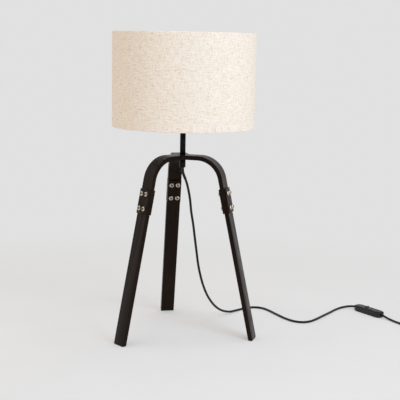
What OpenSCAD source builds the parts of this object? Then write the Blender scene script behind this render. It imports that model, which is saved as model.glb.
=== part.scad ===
// Tripod table lamp: a bent Y-shaped yoke spliced to three flat legs, a drum shade on a
// screw lampholder, and a flexible cord with an inline rocker switch and a two-pin plug.
// The origin is on the floor under the stem. +Z is up. The back leg points along +Y.

/* [Frame] */
// Distance from the stem axis to the middle of a foot, on the floor
foot_r = 163.5; // [145:0.5:200]
// Lean of the legs away from the vertical, in degrees
leg_tilt = 12.4; // [9:0.1:15]
// Height of the top face of the yoke
hub_top_z = 387; // [322:1:465]
// Width of the flat bar
bar_w = 30; // [24:0.5:36]
// Thickness of the flat bar
bar_t = 9; // [7:0.5:11]
// Radius of the yoke's bends, at the middle of the bar
bend_r = 52; // [43:1:62]
// Radius in the three inner corners of the yoke
hub_fillet_r = 8; // [4:0.5:12]
// Straight length of a yoke arm below its bend
arm_drop = 47.6; // [30:0.2:70]

/* [Splices] */
// Open joint between a yoke arm and its leg
seam_gap = 0.4; // [0.2:0.1:1]
// Length of a splice plate
plate_l = 52; // [46:1:58]
// Thickness of a splice plate
plate_t = 3; // [2:0.5:4]
// Distance between the two bolt rows, along the leg
bolt_pitch = 30.5; // [24:0.5:34]
// Distance between the two bolts of a row
bolt_gauge = 14; // [12:0.5:16]
// Diameter of the bolt and nut heads
head_d = 10; // [8:0.5:11]
// Height of the bolt and nut heads
head_h = 4; // [2.8:0.1:5]
// Diameter of the bolt shanks
shank_d = 4; // [3:0.5:5]
// Outer diameter of the barrel nuts
barrel_d = 6; // [5.6:0.2:7]

/* [Feet] */
// Thickness of the foot pads
pad_t = 2; // [1:0.5:4]
// Set-back of a pad from the edges of its leg
pad_margin = 0.5; // [0:0.1:1]

/* [Stem] */
// Outer diameter of the stem tube
stem_d = 12; // [11:0.5:16]
// Length of the stem tube
stem_l = 59; // [45:1:75]
// Diameter of the threaded nipple
nipple_d = 10; // [9:0.5:10.5]
// Bore of the threaded nipple
nipple_bore_d = 7; // [6:0.2:8]
// Diameter of the sleeve nut under the yoke
sleeve_d = 13; // [12.5:0.5:18]
// Length of the sleeve nut
sleeve_l = 17; // [14:0.5:24]
// Thickness of the lock washer
washer_t = 1; // [0.8:0.1:2]

/* [Lampholder] */
// Diameter of the lampholder's base cap
holder_cap_d = 42; // [40:0.5:46]
// Height of the lampholder's base cap
holder_cap_h = 22; // [18:0.5:28]
// Diameter of the threaded skirt
skirt_d = 39; // [36:0.5:41]
// Height of the threaded skirt
skirt_h = 38; // [34:0.5:46]
// Wall of the lampholder's shells
holder_wall = 2; // [1.5:0.1:2.5]
// Inner diameter of the screw shell that takes the bulb
shell_bore_d = 27; // [26.8:0.1:28]
// Outer diameter of the shade rings
shade_ring_d = 54; // [48:1:60]
// Height of one shade ring
shade_ring_h = 6; // [4:0.5:9]

/* [Shade] */
// Outer diameter of the drum shade
shade_d = 300; // [240:1:360]
// Height of the drum shade
shade_h = 196; // [160:1:235]
// Height of the fitter ring above the shade's lower edge
fitter_drop = 44; // [36:1:50]
// Thickness of the shade's fabric
fabric_t = 0.7; // [0.4:0.1:1.2]
// Thickness of the stiff liner behind the fabric
liner_t = 0.7; // [0.4:0.1:1.2]
// Diameter of the shade's wire
wire_d = 3; // [2.4:0.1:4]
// Height of the hem that is turned in over the hoops
hem_h = 8; // [6:0.5:12]
// Diameter of the spokes
spoke_d = 2.6; // [2:0.2:2.8]
// Thickness of the fitter ring
fitter_t = 2; // [1.5:0.1:3]

/* [Bulb] */
// Diameter of the glass
bulb_d = 60; // [45:1:70]
// Length of the bulb from its contact to the top of the glass
bulb_l = 108; // [100:1:120]
// Diameter of the bulb's screw cap
cap_d = 26.2; // [26:0.05:26.4]
// Wall of the glass
glass_t = 0.8; // [0.6:0.1:1.2]

/* [Cord and plug] */
// Diameter of the cord
cord_d = 5.2; // [4.4:0.1:5.4]
// Diameter across the middle of the coil's turns
coil_mid_d = 56; // [52:1:62]
// Length of the plug's body
plug_l = 36; // [30:1:44]
// Width of the plug at its pins
plug_w = 35; // [30:0.5:38]
// Thickness of the plug
plug_t = 13.6; // [12:0.2:15]
// Diameter of the plug's pins
pin_d = 4; // [3.8:0.1:4.8]
// Length of the pins in front of the plug
pin_l = 19; // [17:0.5:21]
// Distance between the pins
pin_gauge = 19; // [17:0.5:20]
// Length of the tapered relief behind the plug
plug_relief_l = 30; // [22:1:40]

/* [Switch] */
// Length of the inline switch
switch_l = 80; // [70:1:90]
// Width of the inline switch
switch_w = 21; // [19:0.5:26]
// Height of the inline switch
switch_h = 14; // [13:0.5:17]
// Wall of the switch's shells
switch_wall = 1.8; // [1.4:0.1:2.2]
// Length of the rocker
rocker_l = 17; // [14:0.5:20]
// Width of the rocker
rocker_w = 9; // [7:0.5:10]
// Tilt of the rocker to either side
rocker_tilt = 10; // [5:0.5:11]

/* [Hidden] */
$fn = 96;

// Azimuths of the three legs
AZ_BACK = 90;
AZ_LEFT = 210;
AZ_RIGHT = 330;
AZIMUTHS = [AZ_BACK, AZ_LEFT, AZ_RIGHT];

// Clearances: a running fit, a loose hole, and parts of two bodies that move apart
fit_gap = 0.05;
hole_gap = 0.1;
body_gap = 0.3;
// Overlap that joins two shapes of one piece
weld = 0.05;

// Yoke and legs, in the plane of one leg: r is out from the stem, s is along the leg
hub_mid_z = hub_top_z - bar_t / 2;
hub_low_z = hub_top_z - bar_t;
bend_angle = 90 - leg_tilt;
bend_reach = bend_r * tan(bend_angle / 2);
bend_start_r = foot_r - hub_mid_z * tan(leg_tilt) - bend_reach;
bend_end_s = hub_mid_z / cos(leg_tilt) - bend_reach;
seam_s = bend_end_s - arm_drop;
foot_cut_s = 4;
ground_cut = 20;
bend_steps = 26;
corner_r = bar_w / 2 / sin(60);

// Splice stack, measured from the middle of the bar
seat_gap = 0.02;
stack_half = bar_t / 2 + seat_gap + plate_t;
barrel_l = stack_half * 2 - 1.5;
shank_l = stack_half * 2 - 4.5;
barrel_bore_l = barrel_l - 3.5;
socket_d = 4.2;
socket_h = head_h * 0.65;
head_edge_h = head_h * 0.55;
head_slope_h = head_h * 0.85;

// Stem hardware
washer_low_z = hub_low_z - washer_t;
sleeve_low_z = washer_low_z - sleeve_l;
sleeve_lip = 3;
flange_t = 2;
flange_d = nipple_d - 0.4;
relief_d = 7.4;
relief_low_d = cord_d + 0.8;
relief_top_z = sleeve_low_z + sleeve_lip + flange_t;
nipple_low_z = relief_top_z + hole_gap;
stem_top_z = hub_top_z + stem_l;
nipple_top_z = stem_top_z + holder_wall + 4;

// Leads inside the stem and the switch
lead_d = 1.8;
lead_x = 1.3;
lead_splay = 38;
stem_lead_l = 12.5;
switch_lead_l = 7;
cord_stub_l = 11;

// Lampholder
cap_low_z = stem_top_z;
cap_top_z = cap_low_z + holder_cap_h;
holder_cap_low_d = holder_cap_d - 8;
cap_edge = 2;
cap_shoulder_h = holder_cap_h * 0.7;
cap_floor_t = holder_wall + 2;
skirt_flange_t = 3;
insert_t = 6;
insert_d = skirt_d - 2 * holder_wall - 2 * fit_gap;
insert_z = cap_top_z + 1;
insert_top_z = insert_z + insert_t;
shell_t = 0.5;
shell_h = 25;
contact_t = 0.6;
contact_rise = 2.6;
contact_w = 5;
contact_l = 9;
screw_post_x = 10;
screw_post_d = 3;
screw_post_h = 7;
screw_head_d = 6;
screw_head_h = 1.6;

// Shade: its fitter ring is clamped between the two shade rings
fitter_z = cap_top_z + 22;
fitter_bore_d = skirt_d + 2 * body_gap;
fitter_d = shade_ring_d - 4;
lower_ring_z = fitter_z - body_gap - shade_ring_h;
upper_ring_z = fitter_z + fitter_t + body_gap;
shade_low_z = fitter_z - fitter_drop;
shade_top_z = shade_low_z + shade_h;
skin_r = shade_d / 2 - fabric_t;
liner_r = skin_r - liner_t;
hem_t = 0.6;
hoop_r = liner_r - hole_gap - wire_d / 2;
hem_r = hoop_r - wire_d / 2 - hole_gap - hem_t;
low_hoop_z = shade_low_z + hem_t + hole_gap + wire_d / 2;
top_hoop_z = shade_top_z - hem_t - hole_gap - wire_d / 2;
spoke_azimuths = [30, 150, 270];
spoke_r_in = fitter_d / 2 - 2;
spoke_clear = 8;

// Bulb, from its contact up
bulb_low_z = insert_top_z + contact_rise + body_gap;
bulb_contact_h = 1.2;
bulb_contact_d = 9;
insulator_h = 2.4;
insulator_d = 18;
bulb_cap_low_z = bulb_low_z + bulb_contact_h + insulator_h;
bulb_cap_h = 20;
cap_t = 0.4;
glass_low_z = bulb_cap_low_z + bulb_cap_h - 5;
glass_top_z = bulb_low_z + bulb_l;
glass_mid_z = glass_top_z - bulb_d / 2;
glass_neck_r = cap_d / 2 - cap_t - hole_gap;
glass_blend_z = bulb_cap_low_z + bulb_cap_h + 2;
mount_h = glass_mid_z - glass_low_z - 14;
mount_low_d = 14;
mount_top_d = 5;
filament_d = 1.6;
filament_l = 34;
filament_lean = 14;

// Inline switch, in its own frame: u is along the cord, v across, z up
switch_at = [465, 67];
switch_azimuth = -66;
switch_axis_z = switch_h / 2;
switch_split_z = 6.5;
switch_end_w = 15;
switch_shoulder = 9;
pivot_z = switch_h - 4;
pivot_d = 2;
opening_gap = 0.4;
boss_d = 6;
base_boss_h = 1.6;
cover_boss_z = switch_axis_z + cord_d / 2 + 0.6;
base_edge = 0.8;
base_edge_z = 1.2;
cover_edge = 0.6;
cover_edge_z = switch_h - 1.4;
crown_edge = 1.8;
crown_z = switch_h - 0.5;
opening_end_gap = opening_gap + 0.4;
switch_screw_u = 21;
switch_screw_d = 2.6;
switch_head_d = 5;
switch_foot = 0.2;
switch_head_low_z = 0.5;
switch_head_t = 0.9;
switch_slot_w = 0.7;
switch_slot_t = 0.5;
rocker_pin_l = switch_w - 2;
contact_post_u = 9;
contact_post_l = 5;
contact_post_w = 4;
contact_post_h = 3.4;
contact_blade_w = 3;
contact_blade_t = 0.5;

// Cord: round numbers chosen along its way, with each end taken from what it meets
ring_step = 14;
cord_sides = 10;
relief_route = [[0, 0, sleeve_low_z + sleeve_lip], [0, 0, 358], [1, 1, 350], [4, 3, 342], [8, 7, 334]];
relief_dir = unit([4, 3, -9]);
drop_route = [
    [8, 7, 334], [12, 10, 324], [16, 14, 311], [21, 17, 288], [25, 21, 260], [31, 26, 230],
    [36, 31, 200], [41, 35, 170], [46, 39, 140], [53, 45, 112], [62, 52, 85], [75, 63, 58],
    [93, 79, 33], [114, 96, 15], [138, 114, 5]
];
floor_route = [
    [160, 130, 3], [180, 143, 2.7], [198, 150, 2.7], [215, 148, 2.7], [227, 137, 2.7],
    [235, 119, 2.7], [242, 93, 2.7], [249, 67, 2.7], [257, 44, 2.7], [268, 25, 2.7],
    [284, 15, 2.7], [303, 18, 2.7], [324, 34, 2.7], [350, 59, 2.7], [375, 83, 2.7],
    [393, 101, 2.7], [408, 113, 3], [419, 118, 3.6], [431, 119, 4.8], [442, 114, 6.2]
];
edge_route = [[487, 13, 5], [493, -4, 3.4], [500, -23, 3], [508, -43, 3.4]];
switch_dir = [cos(switch_azimuth), sin(switch_azimuth), 0];
switch_mid = [switch_at[0], switch_at[1], switch_axis_z];
switch_in = switch_mid - switch_dir * switch_l / 2;
switch_out = switch_mid + switch_dir * switch_l / 2;

// Coil of the spare cord: two turns wide and two high, with a last part turn on top, on a tie that
// lifts it a little
coil_at = [544, -52];
tie_t = 1;
tie_w = 8;
tie_slack = 0.5;
coil_low_z = tie_t + hole_gap;
coil_softness = 0.35;
coil_in_angle = 200;
coil_out_angle = 236;
coil_turn_r = coil_mid_d / 2 + cord_d / 2;
coil_in = [
    coil_at[0] + coil_turn_r * cos(coil_in_angle),
    coil_at[1] + coil_turn_r * sin(coil_in_angle),
    coil_low_z + cord_d / 2
];
coil_in_dir = [-sin(coil_in_angle), cos(coil_in_angle), 0];
coil_out = [
    coil_at[0] + coil_turn_r * cos(coil_out_angle),
    coil_at[1] + coil_turn_r * sin(coil_out_angle),
    coil_low_z + cord_d * 2.5
];
coil_out_dir = [-sin(coil_out_angle), cos(coil_out_angle), 0];
coil_lap_angle = 44;
tie_azimuth = 320;

// Plug, in line with the end of the coil
plug_low_z = 0.2;
plug_axis_z = plug_low_z + plug_t / 2;
plug_azimuth = coil_out_angle + 90;
plug_dir = [cos(plug_azimuth), sin(plug_azimuth), 0];
plug_lead = 36;
plug_at = [coil_out[0] + coil_out_dir[0] * plug_lead, coil_out[1] + coil_out_dir[1] * plug_lead, plug_axis_z];
plug_route = [
    [coil_out[0] + 10, coil_out[1] - 6.7, coil_out[2] - 1.6],
    [plug_at[0] - 10, plug_at[1] + 6.7, plug_axis_z + 0.6]
];
plug_tail_w = 14;
plug_relief_d = 10;
pin_sleeve_l = 10;
pin_sleeve_d = pin_d - 0.4;
plug_shoulder = 0.55;
pin_tip_l = pin_d / 2;
pin_core_d = 3;
pin_root = 8;

// ---- Functions ----

function unit(v) = v / norm(v);

// Catmull-Rom point at t, between b and c
function spline(a, b, c, d, t) =
    0.5 * (2 * b + (c - a) * t + (2 * a - 5 * b + 4 * c - d) * t * t + (3 * b - a - 3 * c + d) * t * t * t);

function span(q, i, n) = [for (k = [0 : n - 1]) spline(q[i - 1], q[i], q[i + 1], q[i + 2], k / n)];

function steps(a, b) = max(1, round(norm(b - a) / ring_step));

// Smooth path through p that starts along dir_a and ends along dir_b
function smooth(p, dir_a, dir_b) =
    let (n = len(p))
    let (before = p[1] - 2 * norm(p[1] - p[0]) * dir_a)
    let (after = p[n - 2] + 2 * norm(p[n - 1] - p[n - 2]) * dir_b)
    let (q = concat([before], p, [after]))
    concat([for (i = [1 : n - 1]) each span(q, i, steps(q[i], q[i + 1]))], [p[n - 1]]);

function tangents(p, dir_a, dir_b) =
    concat([dir_a], [for (i = [1 : len(p) - 2]) unit(p[i + 1] - p[i - 1])], [dir_b]);

function carry(u, t) = unit(u - (u * t) * t);

function sides_of(t, n) =
    [for (i = 0, u = carry(abs(t[0][2]) > 0.9 ? [1, 0, 0] : [0, 0, 1], t[0]);
        i < n;
        i = i + 1, u = carry(u, t[min(i, n - 1)])) u];

// ---- Helpers ----

// Closed tube along the ring centres p, with one radius for each ring
module sweep(p, radii, dir_a, dir_b) {
    n = len(p);
    m = cord_sides;
    t = tangents(p, dir_a, dir_b);
    u = sides_of(t, n);
    points = [
        for (i = [0 : n - 1])
            for (k = [0 : m - 1])
                p[i] + radii[i] * (cos(360 * k / m) * u[i] + sin(360 * k / m) * cross(t[i], u[i]))
    ];
    left = [
        for (i = [0 : n - 2])
            for (k = [0 : m - 1])
                [i * m + k, (i + 1) * m + k, (i + 1) * m + (k + 1) % m]
    ];
    right = [
        for (i = [0 : n - 2])
            for (k = [0 : m - 1])
                [i * m + k, (i + 1) * m + (k + 1) % m, i * m + (k + 1) % m]
    ];
    start_cap = [[for (k = [0 : m - 1]) k]];
    end_cap = [[for (k = [m - 1 : -1 : 0]) (n - 1) * m + k]];
    polyhedron(points, concat(left, right, start_cap, end_cap));
}

module cord_tube(route, dir_a, dir_b) {
    path = smooth(route, dir_a, dir_b);
    sweep(path, [for (q = path) cord_d / 2], dir_a, dir_b);
}

module tube(d, bore, h) {
    difference() {
        cylinder(d = d, h = h);
        translate([0, 0, -1]) cylinder(d = bore, h = h + 2);
    }
}

// Frame of one leg: x is across it, y is its outward normal, z runs up it from the floor
module on_leg(azimuth) {
    rotate([0, 0, azimuth - 90])
        translate([0, foot_r, 0])
            rotate([leg_tilt, 0, 0])
                children();
}

module at_bolts() {
    for (row = [-1, 1])
        for (side = [-1, 1])
            translate([side * bolt_gauge / 2, 0, seam_s + row * bolt_pitch / 2])
                rotate([-90, 0, 0])
                    children();
}

module bolt_holes() {
    at_bolts() translate([0, 0, -stack_half - 1]) cylinder(d = barrel_d + 2 * hole_gap, h = 2 * stack_half + 2);
}

// Round head with a domed face, on z = 0
module button_head() {
    difference() {
        rotate_extrude() polygon([
            [0, 0], [head_d / 2, 0], [head_d / 2, head_edge_h],
            [head_d / 2 - 1, head_slope_h], [head_d / 4, head_h], [0, head_h]
        ]);
        translate([0, 0, head_h - socket_h]) cylinder(d = socket_d, h = socket_h + 1, $fn = 6);
    }
}

// ---- Yoke and legs ----

// Arc of the bend at radius r, from angle a to angle b
function bend_arc(r, a, b) =
    [for (k = [0 : bend_steps])
        let (t = a + (b - a) * k / bend_steps)
        [bend_start_r + r * cos(t), hub_mid_z - bend_r + r * sin(t)]];

// Side outline of one arm, from the stem axis to the open joint
function arm_outline() =
    let (inner = bend_arc(bend_r - bar_t / 2, 90, leg_tilt))
    let (outer = bend_arc(bend_r + bar_t / 2, leg_tilt, 90))
    let (drop = (arm_drop - seam_gap / 2) * [sin(leg_tilt), -cos(leg_tilt)])
    concat([[0, hub_low_z]], inner, [inner[bend_steps] + drop, outer[0] + drop], outer, [[0, hub_top_z]]);

module arm() {
    rotate([90, 0, 90])
        linear_extrude(bar_w, center = true)
            polygon(arm_outline());
}

// Fillet between two arms, which dips a little into both of them
module hub_corner() {
    centre_r = corner_r + (hub_fillet_r - weld) / sin(60);
    touch = (hub_fillet_r - weld) / tan(60);
    touch_x = corner_r + touch * cos(60) - sin(60) / 2;
    touch_y = touch * sin(60) + cos(60) / 2;
    difference() {
        polygon([[corner_r / 2, 0], [touch_x, -touch_y], [centre_r, 0], [touch_x, touch_y]]);
        translate([centre_r, 0]) circle(r = hub_fillet_r);
    }
}

module yoke() {
    color([0.17, 0.13, 0.11])
        difference() {
            union() {
                for (az = AZIMUTHS) {
                    rotate([0, 0, az - 90]) arm();
                    rotate([0, 0, az + 60]) translate([0, 0, hub_low_z]) linear_extrude(bar_t) hub_corner();
                }
            }
            translate([0, 0, hub_low_z - 1]) cylinder(d = nipple_d + 2 * hole_gap, h = bar_t + 2);
            for (az = AZIMUTHS) on_leg(az) bolt_holes();
        }
}

module leg(azimuth) {
    color([0.17, 0.13, 0.11])
        difference() {
            on_leg(azimuth) {
                difference() {
                    translate([-bar_w / 2, -bar_t / 2, -foot_cut_s])
                        cube([bar_w, bar_t, seam_s - seam_gap / 2 + foot_cut_s]);
                    bolt_holes();
                }
            }
            translate([-foot_r * 2, -foot_r * 2, pad_t - ground_cut])
                cube([foot_r * 4, foot_r * 4, ground_cut]);
        }
}

module splice_plate(azimuth, inside) {
    color([0.14, 0.11, 0.10])
        on_leg(azimuth)
            difference() {
                translate([-bar_w / 2, inside ? -stack_half : bar_t / 2 + seat_gap, seam_s - plate_l / 2])
                    cube([bar_w, plate_t, plate_l]);
                bolt_holes();
            }
}

module splice_bolts(azimuth) {
    color([0.72, 0.64, 0.56])
        on_leg(azimuth)
            at_bolts() {
                translate([0, 0, stack_half]) button_head();
                translate([0, 0, stack_half - shank_l]) cylinder(d = shank_d, h = shank_l + weld);
            }
}

module barrel_nuts(azimuth) {
    color([0.72, 0.64, 0.56])
        on_leg(azimuth)
            at_bolts()
                difference() {
                    union() {
                        translate([0, 0, -stack_half]) mirror([0, 0, 1]) button_head();
                        translate([0, 0, -stack_half - weld]) cylinder(d = barrel_d, h = barrel_l + weld);
                    }
                    translate([0, 0, -stack_half + barrel_l - barrel_bore_l])
                        cylinder(d = shank_d + 2 * fit_gap, h = barrel_bore_l + 1);
                }
}

module foot_pad(azimuth) {
    pad_y = bar_t / cos(leg_tilt) - 2 * pad_margin;
    color([0.05, 0.05, 0.05])
        rotate([0, 0, azimuth - 90])
            translate([-bar_w / 2 + pad_margin, foot_r - pad_t * tan(leg_tilt) - pad_y / 2, 0])
                cube([bar_w - 2 * pad_margin, pad_y, pad_t]);
}

// ---- Stem ----

module stem_tube() {
    color([0.03, 0.03, 0.03])
        translate([0, 0, hub_top_z]) tube(stem_d, nipple_d + 2 * hole_gap, stem_l);
}

module threaded_nipple() {
    color([0.75, 0.6, 0.3])
        translate([0, 0, nipple_low_z]) tube(nipple_d, nipple_bore_d, nipple_top_z - nipple_low_z);
}

module lock_washer() {
    color([0.6, 0.6, 0.6])
        translate([0, 0, washer_low_z]) tube(sleeve_d, nipple_d + 2 * hole_gap, washer_t);
}

module sleeve_nut() {
    color([0.03, 0.03, 0.03])
        translate([0, 0, sleeve_low_z])
            difference() {
                cylinder(d = sleeve_d, h = sleeve_l);
                translate([0, 0, -1]) cylinder(d = relief_d + 4 * hole_gap, h = sleeve_l);
                translate([0, 0, sleeve_lip]) cylinder(d = nipple_d + 2 * fit_gap, h = sleeve_l);
            }
}

module cord_relief() {
    start = relief_route[0];
    path = smooth(relief_route, [0, 0, -1], relief_dir);
    n = len(path);
    taper = [for (i = [0 : n - 1]) (relief_d + (relief_low_d - relief_d) * i / (n - 1)) / 2];
    color([0.04, 0.04, 0.04]) {
        sweep(
            concat([[0, 0, relief_top_z], start + [0, 0, hole_gap]], path),
            concat([flange_d / 2, flange_d / 2], taper),
            [0, 0, -1],
            relief_dir
        );
    }
}

module stem_flex() {
    top_z = nipple_top_z - 1;
    color([0.04, 0.04, 0.04])
        translate([0, 0, relief_top_z]) cylinder(d = cord_d, h = top_z - relief_top_z);
    for (side = [-1, 1])
        color(side > 0 ? [0.4, 0.2, 0.1] : [0.1, 0.2, 0.5])
            translate([side * lead_x, 0, top_z - weld])
                rotate([0, side * lead_splay, 0])
                    cylinder(d = lead_d, h = stem_lead_l);
}

// ---- Lampholder ----

module holder_cap() {
    color([0.05, 0.05, 0.05])
        translate([0, 0, cap_low_z])
            difference() {
                rotate_extrude() polygon([
                    [0, 0], [holder_cap_low_d / 2 - cap_edge, 0], [holder_cap_low_d / 2, cap_edge],
                    [holder_cap_d / 2, cap_shoulder_h], [holder_cap_d / 2, holder_cap_h], [0, holder_cap_h]
                ]);
                rotate_extrude() polygon([
                    [0, cap_floor_t], [holder_cap_low_d / 2 - holder_wall - 1, cap_floor_t],
                    [holder_cap_d / 2 - holder_wall, cap_shoulder_h],
                    [holder_cap_d / 2 - holder_wall, holder_cap_h + 1], [0, holder_cap_h + 1]
                ]);
                translate([0, 0, -1]) cylinder(d = nipple_d + 2 * fit_gap, h = holder_cap_h);
            }
}

module holder_skirt() {
    color([0.05, 0.05, 0.05]) {
        translate([0, 0, cap_top_z]) tube(skirt_d, skirt_d - 2 * holder_wall, skirt_h);
        translate([0, 0, cap_top_z]) tube(holder_cap_d, skirt_d - 2 * holder_wall, skirt_flange_t);
    }
}

module holder_insert() {
    color([0.85, 0.83, 0.78])
        difference() {
            translate([0, 0, insert_z]) cylinder(d = insert_d, h = insert_t);
            for (side = [-1, 1])
                translate([side * screw_post_x, 0, insert_z - 1])
                    cylinder(d = screw_post_d + 2 * fit_gap, h = insert_t);
        }
}

module screw_shell() {
    color([0.8, 0.62, 0.3])
        translate([0, 0, insert_top_z]) tube(shell_bore_d + 2 * shell_t, shell_bore_d, shell_h);
}

module centre_contact() {
    color([0.8, 0.62, 0.3]) {
        translate([-contact_w / 2, -contact_w / 2, insert_top_z]) cube([contact_w, contact_w, contact_rise]);
        translate([-contact_l, -contact_w / 2, insert_top_z]) cube([contact_l, contact_w, contact_t]);
    }
}

module terminal_screws() {
    color([0.75, 0.72, 0.65])
        for (side = [-1, 1])
            translate([side * screw_post_x, 0, insert_top_z - 1 - screw_post_h]) {
                cylinder(d = screw_post_d, h = screw_post_h);
                cylinder(d = screw_head_d, h = screw_head_h);
            }
}

module shade_ring(low_z) {
    color([0.05, 0.05, 0.05])
        translate([0, 0, low_z]) tube(shade_ring_d, skirt_d + 2 * fit_gap, shade_ring_h);
}

// ---- Shade ----

module hoop(z) {
    translate([0, 0, z]) rotate_extrude() translate([hoop_r, 0]) circle(d = wire_d, $fn = 24);
}

// Ring that the shade hangs on; the spokes are welded to its edge
module fitter_ring() {
    color([0.85, 0.85, 0.83])
        translate([0, 0, fitter_z]) tube(fitter_d, fitter_bore_d, fitter_t);
}

module shade_spider() {
    rise = fitter_z + fitter_t / 2 - low_hoop_z;
    run = hoop_r - spoke_r_in;
    color([0.85, 0.85, 0.83]) {
        hoop(low_hoop_z);
        difference() {
            for (az = spoke_azimuths)
                rotate([0, 0, az])
                    translate([hoop_r, 0, low_hoop_z])
                        rotate([0, atan2(-run, rise), 0])
                            cylinder(d = spoke_d, h = norm([run, rise]), $fn = 24);
            translate([0, 0, fitter_z + fitter_t]) cylinder(d = fitter_d + spoke_clear, h = spoke_clear);
            translate([0, 0, fitter_z - spoke_clear])
                cylinder(d = fitter_d + 2 * seat_gap, h = 3 * spoke_clear);
            translate([0, 0, fitter_z - spoke_clear]) cylinder(d = shade_ring_d + 1, h = spoke_clear);
        }
    }
}

module top_hoop() {
    color([0.85, 0.85, 0.83]) hoop(top_hoop_z);
}

module shade_liner() {
    low = shade_low_z + hem_t + hole_gap;
    color([0.95, 0.94, 0.9])
        translate([0, 0, low])
            tube(2 * (skin_r - 0.02), 2 * liner_r, shade_h - 2 * (hem_t + hole_gap));
}

module shade_fabric() {
    color([0.9, 0.86, 0.8])
        difference() {
            rotate_extrude($fn = 180)
                difference() {
                    translate([hem_r, shade_low_z]) square([shade_d / 2 - hem_r, shade_h]);
                    translate([hem_r + hem_t, shade_low_z + hem_t])
                        square([skin_r - hem_r - hem_t, shade_h - 2 * hem_t]);
                    translate([hem_r - 1, shade_low_z + hem_h]) square([hem_t + 2, shade_h - 2 * hem_h]);
                }
            hem_slits();
        }
}

// Slits of the lower hem that let the spokes through
module hem_slits() {
    slit_w = spoke_d + 4 * body_gap;
    for (az = spoke_azimuths)
        rotate([0, 0, az])
            translate([hem_r - 2, -slit_w / 2, shade_low_z + hem_t + hole_gap])
                cube([hem_t + 3, slit_w, hem_h]);
}

// ---- Bulb ----

// Outline of the glass, grown inwards by inset
function glass_outline(inset) =
    let (r = bulb_d / 2 - inset)
    let (neck = glass_neck_r - inset)
    let (rise = glass_mid_z - glass_blend_z)
    concat(
        [[0, glass_low_z + inset], [neck, glass_low_z + inset]],
        [for (k = [0 : 12]) [neck + (r - neck) * (1 - cos(15 * k)) / 2, glass_blend_z + rise * k / 12]],
        [for (a = [6 : 6 : 84]) [r * cos(a), glass_mid_z + r * sin(a)]],
        [[0, glass_mid_z + r]]
    );

module bulb_glass() {
    color([0.9, 0.92, 0.95, 0.4])
        rotate_extrude()
            difference() {
                polygon(glass_outline(0));
                polygon(glass_outline(glass_t));
            }
}

module bulb_cap() {
    color([0.78, 0.78, 0.76])
        translate([0, 0, bulb_cap_low_z]) {
            difference() {
                cylinder(d = cap_d, h = bulb_cap_h);
                translate([0, 0, cap_t]) cylinder(d = cap_d - 2 * cap_t, h = bulb_cap_h);
                translate([0, 0, -1]) cylinder(d = insulator_d - 2, h = 3);
            }
        }
}

module bulb_insulator() {
    color([0.08, 0.08, 0.08])
        translate([0, 0, bulb_low_z + bulb_contact_h]) cylinder(d = insulator_d, h = insulator_h);
}

module bulb_contact() {
    color([0.75, 0.72, 0.65])
        translate([0, 0, bulb_low_z]) cylinder(d = bulb_contact_d, h = bulb_contact_h);
}

module bulb_filament() {
    color([0.95, 0.8, 0.45]) {
        translate([0, 0, glass_low_z + glass_t]) cylinder(d1 = mount_low_d, d2 = mount_top_d, h = mount_h);
        for (az = [0 : 90 : 270])
            rotate([0, 0, az])
                translate([filament_d, 0, glass_low_z + glass_t + mount_h - 2])
                    rotate([0, filament_lean, 0])
                        cylinder(d = filament_d, h = filament_l, $fn = 16);
    }
}

// ---- Inline switch ----

// Plan outline of the switch, shrunk by inset, with quarter-round ends to its shoulders
function switch_outline(inset) =
    let (hw = switch_w / 2 - inset)
    let (he = switch_end_w / 2 - inset)
    let (hl = switch_l / 2 - inset)
    let (shoulder_u = switch_l / 2 - switch_shoulder)
    let (quarter = [for (k = [0 : 8])
        [shoulder_u + (hl - shoulder_u) * k / 8, he + (hw - he) * (1 + cos(22.5 * k)) / 2]])
    concat(
        quarter,
        [for (k = [8 : -1 : 0]) [quarter[k][0], -quarter[k][1]]],
        [for (k = [0 : 8]) [-quarter[k][0], -quarter[k][1]]],
        [for (k = [8 : -1 : 0]) [-quarter[k][0], quarter[k][1]]]
    );

module at_switch() {
    translate([switch_at[0], switch_at[1], 0]) rotate([0, 0, switch_azimuth]) children();
}

module cord_way() {
    translate([-switch_l / 2 - 1, 0, switch_axis_z])
        rotate([0, 90, 0])
            cylinder(d = cord_d + 2 * hole_gap, h = switch_l + 2);
}

module switch_slab(inset, low, high) {
    translate([0, 0, low]) linear_extrude(high - low) polygon(switch_outline(inset));
}

module switch_base() {
    color([0.1, 0.1, 0.1])
        at_switch()
            difference() {
                union() {
                    difference() {
                        union() {
                            switch_slab(base_edge, switch_foot, base_edge_z);
                            switch_slab(0, base_edge_z - weld, switch_split_z);
                        }
                        switch_slab(switch_wall, switch_wall, switch_split_z + 1);
                    }
                    for (side = [-1, 1])
                        translate([side * switch_screw_u, 0, switch_wall - weld])
                            cylinder(d = boss_d, h = base_boss_h);
                }
                cord_way();
                for (side = [-1, 1])
                    translate([side * switch_screw_u, 0, -1]) {
                        cylinder(d = switch_screw_d + 2 * hole_gap, h = 8);
                        cylinder(d = switch_head_d + 2 * hole_gap, h = 2.4);
                    }
            }
}

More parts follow.
